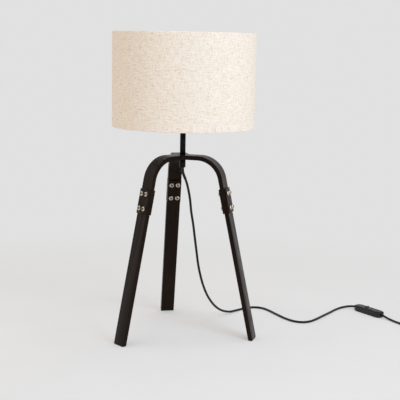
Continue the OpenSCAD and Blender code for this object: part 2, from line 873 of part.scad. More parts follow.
module switch_cover() {
    color([0.1, 0.1, 0.1])
        at_switch()
            difference() {
                union() {
                    difference() {
                        union() {
                            switch_slab(0, switch_split_z, cover_edge_z);
                            switch_slab(cover_edge, cover_edge_z - weld, crown_z);
                            switch_slab(crown_edge, crown_z - weld, switch_h);
                        }
                        switch_slab(switch_wall, switch_split_z - 1, switch_h - switch_wall);
                    }
                    for (side = [-1, 1])
                        translate([side * switch_screw_u, 0, cover_boss_z])
                            cylinder(d = boss_d, h = switch_h - 1 - cover_boss_z);
                }
                cord_way();
                translate([-rocker_l / 2 - opening_end_gap, -rocker_w / 2 - opening_gap, pivot_z])
                    cube([rocker_l + 2 * opening_end_gap, rocker_w + 2 * opening_gap, switch_h]);
                translate([0, -rocker_pin_l / 2 - hole_gap, pivot_z])
                    rotate([-90, 0, 0]) cylinder(d = pivot_d + 2 * fit_gap, h = rocker_pin_l + 2 * hole_gap);
                for (side = [-1, 1])
                    translate([side * switch_screw_u, 0, switch_axis_z]) cylinder(d = switch_screw_d, h = 5.6);
            }
}

module rocker_outline() {
    polygon([
        [1 - rocker_l / 2, 6.3], [-rocker_l / 4, 4.9], [0, 4.4], [rocker_l / 4, 4.9], [rocker_l / 2 - 1, 6.3],
        [rocker_l / 2, 2.2], [3, -1.2], [1.2, -2.6], [-1.2, -2.6], [-3, -1.2], [-rocker_l / 2, 2.2]
    ]);
}

module switch_rocker() {
    color([0.13, 0.13, 0.13])
        at_switch()
            translate([0, 0, pivot_z])
                rotate([0, rocker_tilt, 0])
                    rotate([90, 0, 0])
                        difference() {
                            translate([0, 0, -rocker_w / 2]) linear_extrude(rocker_w) rocker_outline();
                            translate([0, 0, -rocker_w]) cylinder(d = pivot_d + 2 * fit_gap, h = 2 * rocker_w);
                        }
}

module rocker_pin() {
    color([0.7, 0.7, 0.7])
        at_switch()
            translate([0, -rocker_pin_l / 2, pivot_z])
                rotate([-90, 0, 0]) cylinder(d = pivot_d, h = rocker_pin_l);
}

module switch_screws() {
    color([0.6, 0.6, 0.6])
        at_switch()
            for (side = [-1, 1])
                translate([side * switch_screw_u, 0, 0]) {
                    translate([0, 0, switch_head_low_z])
                        difference() {
                            cylinder(d = switch_head_d, h = switch_head_t);
                            translate([-switch_head_d, -switch_slot_w / 2, -switch_slot_t])
                                cube([2 * switch_head_d, switch_slot_w, 2 * switch_slot_t]);
                        }
                    translate([0, 0, switch_head_low_z + switch_head_t - weld])
                        cylinder(d = switch_screw_d - hole_gap, h = 2.2);
                }
}

module switch_contacts() {
    color([0.8, 0.62, 0.3])
        at_switch() {
            for (side = [-1, 1])
                translate([side * contact_post_u - contact_post_l / 2, 2, switch_wall])
                    cube([contact_post_l, contact_post_w, contact_post_h]);
            translate([
                -contact_post_u, 2 + (contact_post_w - contact_blade_w) / 2, switch_wall + contact_post_h
            ])
                cube([2 * contact_post_u, contact_blade_w, contact_blade_t]);
        }
}

module switch_flex() {
    at_switch()
        for (side = [-1, 1])
            translate([side * switch_l / 2, 0, switch_axis_z])
                rotate([0, -side * 90, 0]) {
                    color([0.04, 0.04, 0.04]) cylinder(d = cord_d, h = cord_stub_l);
                    color([0.1, 0.2, 0.5])
                        translate([-side, 0, cord_stub_l - weld])
                            cylinder(d = lead_d, h = switch_lead_l, $fn = 24);
                }
}

// ---- Cord, coil and plug ----

module cord_to_switch() {
    color([0.04, 0.04, 0.04])
        cord_tube(concat(drop_route, floor_route, [switch_in]), relief_dir, switch_dir);
}

module cord_to_coil() {
    color([0.04, 0.04, 0.04])
        cord_tube(concat([switch_out], edge_route, [coil_in]), switch_dir, coil_in_dir);
}

module cord_coil() {
    soft = cord_d * coil_softness;
    w = cord_d;
    color([0.04, 0.04, 0.04])
        translate([coil_at[0], coil_at[1], coil_low_z]) {
            rotate_extrude()
                translate([coil_mid_d / 2, w])
                    polygon([
                        [-w, soft - w], [soft - w, -w], [w - soft, -w], [w, soft - w],
                        [w, w - soft], [w - soft, w], [soft - w, w], [-w, w - soft]
                    ]);
            rotate([0, 0, coil_lap_angle])
                rotate_extrude(angle = coil_out_angle - coil_lap_angle)
                    translate([coil_turn_r, 2.5 * cord_d - weld])
                        rotate(22.5)
                            circle(d = cord_d / cos(22.5), $fn = 8);
        }
}

module cord_to_plug() {
    color([0.04, 0.04, 0.04])
        cord_tube(concat([coil_out], plug_route, [plug_at]), coil_out_dir, plug_dir);
}

module coil_tie() {
    inner_w = 2 * cord_d + 2 * tie_slack;
    inner_h = 2 * cord_d + 2 * hole_gap;
    color([0.08, 0.08, 0.08])
        translate([coil_at[0], coil_at[1], 0])
            rotate([0, 0, tie_azimuth])
                translate([coil_mid_d / 2 - inner_w / 2 - tie_t, -tie_w / 2, 0])
                    difference() {
                        cube([inner_w + 2 * tie_t, tie_w, inner_h + 2 * tie_t]);
                        translate([tie_t, -1, tie_t]) cube([inner_w, tie_w + 2, inner_h]);
                    }
}

module at_plug() {
    translate([plug_at[0], plug_at[1], plug_axis_z]) rotate([0, 0, plug_azimuth]) children();
}

module plug_body() {
    face_u = plug_relief_l + plug_l;
    shoulder_u = plug_relief_l + plug_l * plug_shoulder;
    color([0.06, 0.06, 0.06])
        at_plug()
            difference() {
                union() {
                    translate([0, 0, -plug_t / 2])
                        linear_extrude(plug_t)
                            polygon([
                                [plug_relief_l, -plug_tail_w / 2], [shoulder_u, -plug_w / 2],
                                [face_u, -plug_w / 2], [face_u, plug_w / 2],
                                [shoulder_u, plug_w / 2], [plug_relief_l, plug_tail_w / 2]
                            ]);
                    for (side = [-1, 1])
                        translate([face_u - weld, side * pin_gauge / 2, 0])
                            rotate([0, 90, 0]) cylinder(d = pin_sleeve_d, h = pin_sleeve_l + weld);
                }
                for (side = [-1, 1])
                    translate([face_u - pin_root - hole_gap, side * pin_gauge / 2, 0])
                        rotate([0, 90, 0])
                            cylinder(d = pin_core_d + 2 * fit_gap, h = pin_root + pin_sleeve_l + 1);
            }
}

module plug_pins() {
    face_u = plug_relief_l + plug_l;
    color([0.8, 0.78, 0.72])
        at_plug()
            for (side = [-1, 1])
                translate([face_u, side * pin_gauge / 2, 0])
                    rotate([0, 90, 0]) {
                        translate([0, 0, -pin_root]) cylinder(d = pin_core_d, h = pin_root + pin_l - pin_d);
                        translate([0, 0, pin_sleeve_l])
                            cylinder(d = pin_d, h = pin_l - pin_sleeve_l - pin_tip_l);
                        translate([0, 0, pin_l - pin_tip_l])
                            intersection() {
                                sphere(d = pin_d);
                                translate([0, 0, -weld]) cylinder(d = pin_d + 1, h = pin_d);
                            }
                    }
}

module plug_relief() {
    color([0.05, 0.05, 0.05])
        at_plug()
            rotate([0, 90, 0])
                cylinder(d1 = cord_d + 1, d2 = plug_relief_d, h = plug_relief_l);
}

yoke();
leg(AZ_BACK);  // leg_back
leg(AZ_LEFT);  // leg_left
leg(AZ_RIGHT);  // leg_right
splice_plate(AZ_BACK, false);  // outer_plate_back
splice_plate(AZ_LEFT, false);  // outer_plate_left
splice_plate(AZ_RIGHT, false);  // outer_plate_right
splice_plate(AZ_BACK, true);  // inner_plate_back
splice_plate(AZ_LEFT, true);  // inner_plate_left
splice_plate(AZ_RIGHT, true);  // inner_plate_right
splice_bolts(AZ_BACK);  // splice_bolts_back
splice_bolts(AZ_LEFT);  // splice_bolts_left
splice_bolts(AZ_RIGHT);  // splice_bolts_right
barrel_nuts(AZ_BACK);  // barrel_nuts_back
barrel_nuts(AZ_LEFT);  // barrel_nuts_left
barrel_nuts(AZ_RIGHT);  // barrel_nuts_right
foot_pad(AZ_BACK);  // foot_pad_back
foot_pad(AZ_LEFT);  // foot_pad_left
foot_pad(AZ_RIGHT);  // foot_pad_right
stem_tube();
threaded_nipple();
lock_washer();
sleeve_nut();
cord_relief();
stem_flex();
holder_cap();
holder_skirt();
holder_insert();
screw_shell();
centre_contact();
terminal_screws();
shade_ring(lower_ring_z);  // lower_shade_ring
shade_ring(upper_ring_z);  // upper_shade_ring
fitter_ring();
shade_spider();
top_hoop();
shade_liner();
shade_fabric();
bulb_glass();
bulb_cap();
bulb_insulator();
bulb_contact();
bulb_filament();
switch_base();
switch_cover();
switch_rocker();
rocker_pin();
switch_screws();
switch_contacts();
switch_flex();
cord_to_switch();
cord_to_coil();
cord_coil();
cord_to_plug();
coil_tie();
plug_body();
plug_pins();
plug_relief();
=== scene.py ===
"""Looks of a tripod table lamp: a bent steel tripod, a linen drum shade, a bulb in its holder,
and a cord with an inline switch and a plug. The script is laid out as an add-on: one operator
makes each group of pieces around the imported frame, and main() calls them in order."""

import math

import bmesh
import bpy
from mathutils import Matrix, Vector


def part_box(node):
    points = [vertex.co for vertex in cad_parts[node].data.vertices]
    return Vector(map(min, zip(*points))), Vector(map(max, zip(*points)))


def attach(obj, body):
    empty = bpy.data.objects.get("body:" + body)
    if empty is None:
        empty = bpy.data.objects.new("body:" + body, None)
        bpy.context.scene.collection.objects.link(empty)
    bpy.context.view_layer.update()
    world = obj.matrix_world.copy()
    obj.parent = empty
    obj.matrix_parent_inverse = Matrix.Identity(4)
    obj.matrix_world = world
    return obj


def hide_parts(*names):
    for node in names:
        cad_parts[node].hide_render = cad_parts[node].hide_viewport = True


bl_info = {
    "name": "Tripod table lamp",
    "version": (1, 0, 0),
    "blender": (4, 5, 0),
    "location": "3D View > Sidebar > Lamp",
    "description": "Builds the looks of a tripod table lamp around its packed frame",
    "category": "Object",
}

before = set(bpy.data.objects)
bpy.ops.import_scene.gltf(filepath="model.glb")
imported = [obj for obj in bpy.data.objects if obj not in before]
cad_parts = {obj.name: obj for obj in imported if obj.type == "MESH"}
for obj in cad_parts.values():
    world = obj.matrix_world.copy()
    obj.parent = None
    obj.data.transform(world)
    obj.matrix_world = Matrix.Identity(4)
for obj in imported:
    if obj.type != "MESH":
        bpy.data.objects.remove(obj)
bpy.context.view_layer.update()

MM = 0.001

# ---- The frame's own sizes, in millimetres and degrees ----

# Azimuths of the legs, their lean, and how far their feet are from the stem's axis
LEGS = {"back": 90, "left": 210, "right": 330}
LEG_TILT = 12.4
FOOT_R = 163.5
# Seam of a splice, up the leg from its foot, and its bolts from there: across the leg and along it
SEAM_S = 302.23
BOLT_X = 7
BOLT_S = 15.25
# Hex sockets of the bolts: least distance from the leg's middle plane, and radius
SOCKET_Y = 7.8
SOCKET_R = 2.05
# Pitch of the bulb's thread, radius of the shade, and height of the shade's middle
SCREW_PITCH = 3.6
SHADE_R = 150
SHADE_MIDDLE = 545

# ---- Route of the cord, in millimetres: the frame's own points ----

RELIEF_ROUTE = [(0, 0, 363), (0, 0, 358), (1, 1, 350), (4, 3, 342), (8, 7, 334)]
RELIEF_DIR = (4, 3, -9)
DROP_ROUTE = [
    (8, 7, 334), (12, 10, 324), (16, 14, 311), (21, 17, 288), (25, 21, 260), (31, 26, 230),
    (36, 31, 200), (41, 35, 170), (46, 39, 140), (53, 45, 112), (62, 52, 85), (75, 63, 58),
    (93, 79, 33), (114, 96, 15), (138, 114, 5),
]
FLOOR_ROUTE = [
    (160, 130, 3), (180, 143, 2.7), (198, 150, 2.7), (215, 148, 2.7), (227, 137, 2.7),
    (235, 119, 2.7), (242, 93, 2.7), (249, 67, 2.7), (257, 44, 2.7), (268, 25, 2.7),
    (284, 15, 2.7), (303, 18, 2.7), (324, 34, 2.7), (350, 59, 2.7), (375, 83, 2.7),
    (393, 101, 2.7), (408, 113, 3), (419, 118, 3.6), (431, 119, 4.8), (442, 114, 6.2),
]
EDGE_ROUTE = [(487, 13, 5), (493, -4, 3.4), (500, -23, 3), (508, -43, 3.4)]
SWITCH_AT = (465, 67, 7)
SWITCH_AZIMUTH = -66
SWITCH_L = 80
COIL_AT = (544, -52)
COIL_START = 200
COIL_END = 1676
# Turns of the coil: angle, distance from its middle and height, eased from one to the next
COIL_TURNS = [
    (200, 30.6, 3.7), (500, 30.6, 3.7), (546, 25.4, 3.7), (810, 25.4, 3.7), (856, 25.4, 8.9),
    (1124, 25.4, 8.9), (1170, 30.6, 8.9), (1438, 30.6, 8.9), (1484, 30.6, 14.1), (1676, 30.6, 14.1),
]
PLUG_AZIMUTH = 326
PLUG_LEAD = 36
PLUG_Z = 7
# Steps between points of the cord, in millimetres, and of its coil, in degrees
CORD_STEP = 6
COIL_STEP = 6

# ---- The stage, in metres, watts and degrees ----

# Camera fitted to the outlines in the photo; the lens and its sensor are in millimetres
CAMERA_LENS = 85.155
CAMERA_SENSOR = 36
CAMERA_REACH = 60
CAMERA_AT = (-0.37517, -1.95996, 0.61579)
CAMERA_TURN = -11.945
CAMERA_TILT = 80.73
CAMERA_ROLL = 1.1
# Area lamps: name, place, width, power and colour, and the point that they face
LAMPS = [
    ("key", (1.15, -2.0, 1.5), 1.3, 30, (0.74, 0.86, 1.0)),
    ("top", (0.0, 0.0, 2.4), 1.0, 8, (1.0, 0.97, 0.94)),
    ("left fill", (-1.9, -0.2, 1.0), 1.2, 4, (1.0, 0.84, 0.66)),
]
LAMPS_FACE = (0, 0, 0.35)
# Light from all round, and the grey of the background, which the floor fades into
FILL_COLOUR = (1.0, 0.89, 0.77)
FILL_STRENGTH = 0.68
BACKGROUND = 0.753
FLOOR_R = 14
FLOOR_RIM = 9
FLOOR_FADE_R = 5


# ---- Sizes and colours that a user would change ----


class LampSizes(bpy.types.PropertyGroup):
    """Sizes of the lamp's finer detail"""

    cord_d: bpy.props.FloatProperty(
        name="Cord diameter", description="Diameter of the flexible cord",
        default=0.0052, min=0.004, max=0.007, unit="LENGTH", precision=4)
    edge: bpy.props.FloatProperty(
        name="Edge radius", description="Rounding along the edges of the steel bars",
        default=0.0009, min=0.0001, max=0.002, unit="LENGTH", precision=4)
    thread_pitch: bpy.props.FloatProperty(
        name="Thread pitch", description="Pitch of the lampholder's outer thread",
        default=0.003, min=0.002, max=0.005, unit="LENGTH", precision=4)
    grip_ribs: bpy.props.IntProperty(
        name="Grip ribs", description="Ribs around each shade ring", default=36, min=12, max=60)
    seam_w: bpy.props.FloatProperty(
        name="Shade seam", description="Width of the fabric's overlap at the back of the shade",
        default=0.012, min=0.006, max=0.02, unit="LENGTH", precision=4)


class LampFinishes(bpy.types.PropertyGroup):
    """Colours of the lamp's finishes"""

    steel: bpy.props.FloatVectorProperty(
        name="Steel", description="Dark bronze coat on the tripod", subtype="COLOR", size=3,
        default=(0.0065, 0.0030, 0.0019), min=0, max=1)
    linen: bpy.props.FloatVectorProperty(
        name="Linen", description="Ground colour of the shade's linen", subtype="COLOR", size=3,
        default=(0.905, 0.84, 0.76), min=0, max=1)
    slub: bpy.props.FloatVectorProperty(
        name="Slub", description="Colour of the linen's thicker threads", subtype="COLOR", size=3,
        default=(0.64, 0.45, 0.27), min=0, max=1)
    nickel: bpy.props.FloatVectorProperty(
        name="Bolts", description="Warm nickel of the bolt heads", subtype="COLOR", size=3,
        default=(0.62, 0.52, 0.42), min=0, max=1)
    cord: bpy.props.FloatVectorProperty(
        name="Cord", description="Black of the cord, switch and plug", subtype="COLOR", size=3,
        default=(0.007, 0.0064, 0.0062), min=0, max=1)


# ---- Selection and editing ----


def deselect():
    """Object mode with nothing selected."""
    if bpy.context.object and bpy.context.object.mode != "OBJECT":
        bpy.ops.object.mode_set(mode="OBJECT")
    bpy.ops.object.select_all(action="DESELECT")


def activate(obj):
    """Selects one object alone."""
    deselect()
    obj.select_set(True)
    bpy.context.view_layer.objects.active = obj


def edit(obj):
    """Edit mode on faces, with nothing selected."""
    activate(obj)
    bpy.ops.object.mode_set(mode="EDIT")
    bpy.ops.mesh.select_mode(type="FACE")
    bpy.ops.mesh.select_all(action="DESELECT")


def pick_faces(obj, test):
    """Selects, in edit mode, the faces that pass the test."""
    mesh = bmesh.from_edit_mesh(obj.data)
    chosen = [face for face in mesh.faces if test(face)]
    if not chosen:
        raise RuntimeError(f"{obj.name}: no faces found to work on")
    for face in chosen:
        face.select_set(True)
    mesh.select_flush_mode()
    bmesh.update_edit_mesh(obj.data)


def done():
    """Back to object mode."""
    bpy.ops.object.mode_set(mode="OBJECT")


def modify(obj, kind, **settings):
    """Adds a modifier and applies it."""
    modifier = obj.modifiers.new(kind.title(), kind)
    for name, value in settings.items():
        setattr(modifier, name, value)
    activate(obj)
    bpy.ops.object.modifier_apply(modifier=modifier.name)


def ease(obj, width, segments=2, angle=30):
    """Rounds the edges that are sharper than the angle."""
    modify(obj, "BEVEL", width=width, segments=segments, limit_method="ANGLE",
           angle_limit=math.radians(angle), miter_outer="MITER_ARC")


def settle(obj, name, body, look, angle, replaced=(), place=None):
    """Smooths and coats a piece, puts its place in its mesh, and says what it rides on and
    stands for."""
    activate(obj)
    bpy.ops.object.shade_smooth_by_angle(angle=math.radians(angle))
    coat(obj, finish(look))
    if place is not None:
        obj.matrix_world = place @ obj.matrix_world
        bpy.context.view_layer.update()
    bpy.ops.object.transform_apply(location=True, rotation=True, scale=True)
    obj.name = name
    obj.data.name = name
    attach(obj, body)
    if replaced:
        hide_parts(*replaced)
    return obj


def link(obj):
    """Adds a new object to the scene."""
    bpy.context.scene.collection.objects.link(obj)
    return obj


def sized(obj, *scale):
    """Scales a new primitive in its mesh."""
    obj.scale = scale
    activate(obj)
    bpy.ops.object.transform_apply(location=False, rotation=False, scale=True)


def twin(obj):
    """A copy with its own mesh."""
    other = obj.copy()
    other.data = obj.data.copy()
    return link(other)


def coat(obj, material):
    """Gives all of a piece one material."""
    obj.data.materials.clear()
    obj.data.materials.append(material)
    for face in getattr(obj.data, "polygons", ()):
        face.material_index = 0


def paint(look, *names):
    """Gives carried-over nodes a finish."""
    for name in names:
        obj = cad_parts[name]
        for material_slot in obj.material_slots:
            material_slot.material = finish(look)
        if not obj.material_slots:
            obj.data.materials.append(finish(look))


# ---- Making shapes ----


def turned(profile, steps):
    """Turns a profile of (radius, height) points, in millimetres, about the Z axis."""
    deselect()
    bpy.ops.mesh.primitive_plane_add(size=MM)
    obj = bpy.context.object
    bpy.ops.object.mode_set(mode="EDIT")
    bpy.ops.mesh.select_mode(type="VERT")
    bpy.ops.mesh.select_all(action="SELECT")
    bpy.ops.mesh.merge(type="CENTER")
    (r, z) = profile[0]
    bpy.ops.transform.translate(value=(r * MM, 0, z * MM))
    for (r_to, z_to) in profile[1:]:
        bpy.ops.mesh.extrude_region_move(
            TRANSFORM_OT_translate={"value": ((r_to - r) * MM, 0, (z_to - z) * MM)})
        (r, z) = (r_to, z_to)
    bpy.ops.mesh.select_all(action="SELECT")
    bpy.ops.mesh.spin(steps=steps, angle=math.tau, center=(0, 0, 0), axis=(0, 0, 1))
    bpy.ops.mesh.select_all(action="SELECT")
    bpy.ops.mesh.remove_doubles(threshold=1e-6)
    bpy.ops.mesh.normals_make_consistent(inside=False)
    done()
    return obj


def eased_copy(node, width, segments, angle):
    """A cleaned copy of a frame node with its edges eased."""
    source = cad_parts[node]
    obj = link(bpy.data.objects.new(node + ".eased", source.data.copy()))
    edit(obj)
    bpy.ops.mesh.select_all(action="SELECT")
    bpy.ops.mesh.customdata_custom_splitnormals_clear()
    bpy.ops.mesh.remove_doubles(threshold=2e-6)
    bpy.ops.mesh.dissolve_limited(angle_limit=math.radians(0.6))
    done()
    if width:
        ease(obj, width, segments, angle)
    return obj


def stand_in(node, body, look, width, segments=2, angle=30, shade=32):
    """Replaces a node by its eased copy."""
    obj = eased_copy(node, width, segments, angle)
    return settle(obj, node + ".made", body, look, shade, [node])


def tube_along(points, radii):
    """A curve of one open spline with a round section; points in metres."""
    curve = bpy.data.curves.new("tube", "CURVE")
    curve.dimensions = "3D"
    curve.bevel_depth = 1.0
    curve.bevel_resolution = 6
    curve.use_fill_caps = True
    curve.twist_mode = "MINIMUM"
    spline = curve.splines.new("POLY")
    spline.points.add(len(points) - 1)
    for (spot, place, radius) in zip(spline.points, points, radii):
        spot.co = (*place, 1)
        spot.radius = radius
    return link(bpy.data.objects.new("tube", curve))


def catmull(route, start_dir, end_dir, step):
    """The frame's own smooth path through the route, about one step between points."""
    route = [Vector(p) for p in route]
    start_dir, end_dir = Vector(start_dir).normalized(), Vector(end_dir).normalized()
    before = route[1] - 2 * (route[1] - route[0]).length * start_dir
    after = route[-2] + 2 * (route[-1] - route[-2]).length * end_dir
    q = [before, *route, after]
    path = []
    for a, b, c, d in zip(q, q[1:], q[2:], q[3:]):
        count = max(1, round((c - b).length / step))
        for k in range(count):
            t = k / count
            path.append(0.5 * (2 * b + (c - a) * t + (2 * a - 5 * b + 4 * c - d) * t * t
                               + (3 * b - a - 3 * c + d) * t ** 3))
    return path + [route[-1]]


def heights(node):
    """Lowest and highest point of a frame node, in millimetres."""
    return [corner.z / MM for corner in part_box(node)]


def steps_between(low, high, step):
    """Even steps from low to high, each about as long as the step."""
    count = round((high - low) / step)
    return [low + (high - low) * k / count for k in range(count + 1)]


def wind(obj, low, high, pitch, depth, r_near):
    """Winds a thread into a turned wall between two heights, in metres."""
    for v in obj.data.vertices:
        r = math.hypot(v.co.x, v.co.y)
        if abs(r - r_near) > 1e-5 or not low < v.co.z < high:
            continue
        turn = v.co.z / pitch - math.atan2(v.co.y, v.co.x) / math.tau
        fade = min(1, (v.co.z - low) / pitch, (high - v.co.z) / pitch)
        groove = depth * fade * (0.5 - 0.5 * math.cos(math.tau * turn))
        v.co.x *= (r - groove) / r
        v.co.y *= (r - groove) / r


def rotation(degrees, axis):
    """Matrix that turns about an axis through the origin."""
    return Matrix.Rotation(math.radians(degrees), 4, axis)


def heading(azimuth):
    """Level direction of an azimuth in degrees."""
    return Vector((math.cos(math.radians(azimuth)), math.sin(math.radians(azimuth)), 0))


def coil_spot(angle):
    """Point of the coil at an angle in degrees, in millimetres."""
    for (a, r_a, z_a), (b, r_b, z_b) in zip(COIL_TURNS, COIL_TURNS[1:]):
        if angle <= b:
            t = (angle - a) / (b - a)
            t = t * t * (3 - 2 * t)
            middle = Vector((*COIL_AT, z_a + (z_b - z_a) * t))
            return middle + heading(angle) * (r_a + (r_b - r_a) * t)
    raise ValueError(f"the coil ends before {angle} degrees")


def plug_place():
    """End of the coil, and the start of the plug's relief a short way on from it."""
    end = coil_spot(COIL_END)
    at = end + heading(PLUG_AZIMUTH) * PLUG_LEAD
    return end, Vector((at.x, at.y, PLUG_Z))


def along(azimuth, at):
    """Matrix that lays local Z along an azimuth, at a point in millimetres."""
    return Matrix.Translation(Vector(at) * MM) @ rotation(azimuth, "Z") @ rotation(90, "Y")


# ---- Finishes ----


class Finish:
    """A node material around one Principled shader."""

    def __init__(self, name, **sockets):
        self.material = bpy.data.materials.new(name)
        self.material.use_nodes = True
        self.tree = self.material.node_tree
        self.shader = self.tree.nodes["Principled BSDF"]
        for socket, value in sockets.items():
            self.shader.inputs[socket.replace("_", " ")].default_value = value

    def node(self, kind, links=(), inputs=(), **attributes):
        made = self.tree.nodes.new("ShaderNode" + kind)
        for name, value in attributes.items():
            setattr(made, name, value)
        for name, value in dict(inputs).items():
            made.inputs[name].default_value = value
        for name, source in dict(links).items():
            self.tree.links.new(source, made.inputs[name])
        return made

    def set(self, socket, source):
        """Links a source to one of the shader's sockets."""
        self.tree.links.new(source, self.shader.inputs[socket])

    def coords(self, scale=(1, 1, 1), uv=None):
        """Object coordinates, or the named UV map, scaled."""
        if uv:
            source = self.node("UVMap", uv_map=uv).outputs["UV"]
        else:
            source = self.node("TexCoord").outputs["Object"]
        return self.node("Mapping", {"Vector": source}, {"Scale": scale}).outputs["Vector"]

    def noise(self, where, scale, detail=3.0, rough=0.55):
        """Noise from 0 to 1, mostly between 0.3 and 0.7."""
        return self.node("TexNoise", {"Vector": where}, {
            "Scale": scale, "Detail": detail, "Roughness": rough}).outputs["Fac"]

    def ramp(self, source, stops):
        """Colour ramp from a list of (position, colour) stops."""
        made = self.node("ValToRGB", {"Fac": source})
        ramp = made.color_ramp
        while len(ramp.elements) < len(stops):
            ramp.elements.new(0.5)
        for element, (position, colour) in zip(ramp.elements, stops):
            element.position = position
            element.color = (*colour, 1)
        return made.outputs["Color"]

    def cloud(self, where, scale, dark, light, detail=3.0):
        """Base colour that drifts between two shades."""
        self.set("Base Color", self.ramp(self.noise(where, scale, detail),
                                         [(0.3, dark), (0.7, light)]))

    def span(self, source, low, high, from_low=0.3, from_high=0.7):
        """Stretches a source to run from low to high."""
        return self.node("MapRange", {"Value": source}, {
            "From Min": from_low, "From Max": from_high,
            "To Min": low, "To Max": high}).outputs["Result"]

    def math(self, operation, a, b):
        made = self.node("Math", operation=operation)
        for socket, value in zip(made.inputs, (a, b)):
            if isinstance(value, (int, float)):
                socket.default_value = value
            else:
                self.tree.links.new(value, socket)
        return made.outputs["Value"]

    def mix(self, factor, under, colour):
        """Lays a plain colour over another one, as far as the factor says."""
        made = self.node("Mix", data_type="RGBA")
        self.tree.links.new(factor, made.inputs[0])
        self.tree.links.new(under, made.inputs[6])
        made.inputs[7].default_value = (*colour, 1)
        return made.outputs[2]

    def bump(self, height, strength, distance):
        made = self.node("Bump", {"Height": height}, {"Strength": strength, "Distance": distance})
        self.set("Normal", made.outputs["Normal"])


def shades(colour, low, high):
    """A colour made darker and lighter."""
    return (tuple(min(1, c * low) for c in colour), tuple(min(1, c * high) for c in colour))


def moulded(name, colour, rough, grain, depth=0.00003, cloud=35, spread=0.18, **sockets):
    """Moulded or enamelled surface: faint clouding, fine grain and uneven gloss."""
    made = Finish(name, **{"Specular_IOR_Level": 0.3, **sockets})
    where = made.coords()
    made.cloud(where, cloud, *shades(colour, 1 - spread, 1 + spread))
    made.set("Roughness", made.span(made.noise(where, cloud * 5), rough * 0.85, rough * 1.15))
    made.bump(made.noise(where, grain, 2.0), 0.35, depth)
    return made.material


def metal(name, colour, rough, stretch=(1, 1, 1)):
    """Bare metal: fine machining marks and cloudy tarnish."""
    made = Finish(name, Metallic=1.0)
    marks = made.noise(made.coords(stretch), 700, 4.0)
    made.cloud(made.coords(), 60, *shades(colour, 0.88, 1.12))
    made.set("Roughness", made.span(marks, rough * 0.75, rough * 1.3))
    made.bump(marks, 0.3, 0.00002)
    return made.material


def coated_steel(colour):
    """Dark bronze powder coat: brown mottling, orange peel and slightly uneven gloss."""
    made = Finish("bronze coat", Specular_IOR_Level=0.17, Specular_Tint=(1.0, 0.80, 0.68, 1))
    where = made.coords()
    dark, light = shades(colour, 0.75, 1.3)
    brown = (colour[0] * 1.9, colour[1] * 1.35, colour[2] * 1.1)
    cloud = made.noise(where, 22, 5.0, 0.6)
    patina = made.ramp(cloud, [(0.32, dark), (0.5, colour), (0.62, light), (0.75, brown)])
    made.set("Base Color", patina)
    made.set("Roughness", made.span(made.noise(where, 60, 4.0), 0.29, 0.41))
    fine = made.math("MULTIPLY", made.noise(where, 1500, 2.0), 0.35)
    peel = made.math("ADD", made.noise(where, 420, 2.0), fine)
    made.bump(peel, 0.22, 0.00005)
    return made.material


def woven_linen(ground, slub):
    """Plain-woven linen on its own UV map, in metres: threads, short slubs and flecks."""
    made = Finish("natural linen", Sheen_Weight=0.1, Sheen_Roughness=0.5, Specular_IOR_Level=0.15)
    pale = tuple(min(1, c * 1.08) for c in ground)
    deep = (ground[0] * 0.86, ground[1] * 0.80, ground[2] * 0.71)

    def cloth_noise(scale, detail=2.0, rough=0.6):
        return made.noise(made.coords(scale, uv="cloth"), 1.0, detail, rough)

    weft, warp = cloth_noise((60, 640, 1)), cloth_noise((640, 60, 1))
    tufts = cloth_noise((330, 420, 1))
    weave = made.math("MULTIPLY", made.math("ADD", weft, warp), 0.5)
    ground_mix = made.math("ADD", made.math("MULTIPLY", weave, 0.65),
                           made.math("MULTIPLY", tufts, 0.35))
    cloth = made.ramp(ground_mix, [(0.40, deep), (0.50, ground), (0.60, pale)])
    weft_slub = made.span(cloth_noise((70, 430, 1), 1.0), 0.0, 0.6, 0.60, 0.74)
    warp_slub = made.span(cloth_noise((430, 70, 1), 1.0), 0.0, 0.45, 0.61, 0.75)
    fleck = made.span(cloth_noise((300, 420, 1), 1.0), 0.0, 0.7, 0.69, 0.78)
    for amount in (weft_slub, warp_slub, fleck):
        cloth = made.mix(amount, cloth, slub)
    made.set("Base Color", cloth)
    made.set("Roughness", made.span(weft, 0.82, 0.96))
    waves = [made.node("TexWave", {"Vector": made.coords(uv="cloth")}, {
        "Scale": 260, "Distortion": 1.5, "Detail": 1.0, "Detail Scale": 1.2},
        wave_type="BANDS", bands_direction=way).outputs["Fac"] for way in ("X", "Y")]
    crossing = made.math("MULTIPLY", waves[0], waves[1])
    height = made.math("ADD", made.math("MULTIPLY", crossing, 0.5), weave)
    made.bump(height, 0.6, 0.0004)
    return made.material


def backing():
    """Pressed white backing sheet behind the linen, with a fine grain."""
    made = Finish("shade backing", Specular_IOR_Level=0.35)
    where = made.coords()
    made.cloud(where, 30, (0.70, 0.67, 0.61), (0.80, 0.77, 0.71), 4.0)
    made.set("Roughness", made.span(made.noise(where, 240), 0.45, 0.6))
    made.bump(made.noise(where, 1100, 3.0), 0.3, 0.00006)
    return made.material


def clear_glass():
    """Glass of the bulb, very slightly uneven."""
    made = Finish("clear glass", Roughness=0.02, IOR=1.45, Transmission_Weight=1.0)
    where = made.coords()
    made.cloud(where, 25, (0.95, 0.96, 0.96), (0.99, 0.99, 0.99), 2.0)
    made.bump(made.noise(where, 40, 1.0), 0.05, 0.0002)
    return made.material


def looped_strap():
    """Hook-and-loop strap: tiny loops all over."""
    made = Finish("strap", Sheen_Weight=0.4, Sheen_Roughness=0.5)
    where = made.coords()
    loops = made.node("TexVoronoi", {"Vector": where}, {"Scale": 1300}).outputs["Distance"]
    made.set("Base Color", made.ramp(loops, [(0.1, (0.045, 0.044, 0.044)),
                                             (0.6, (0.010, 0.010, 0.010))]))
    made.set("Roughness", made.span(made.noise(where, 200), 0.8, 0.95))
    made.bump(loops, 0.8, -0.0003)
    return made.material


FINISHES = {}


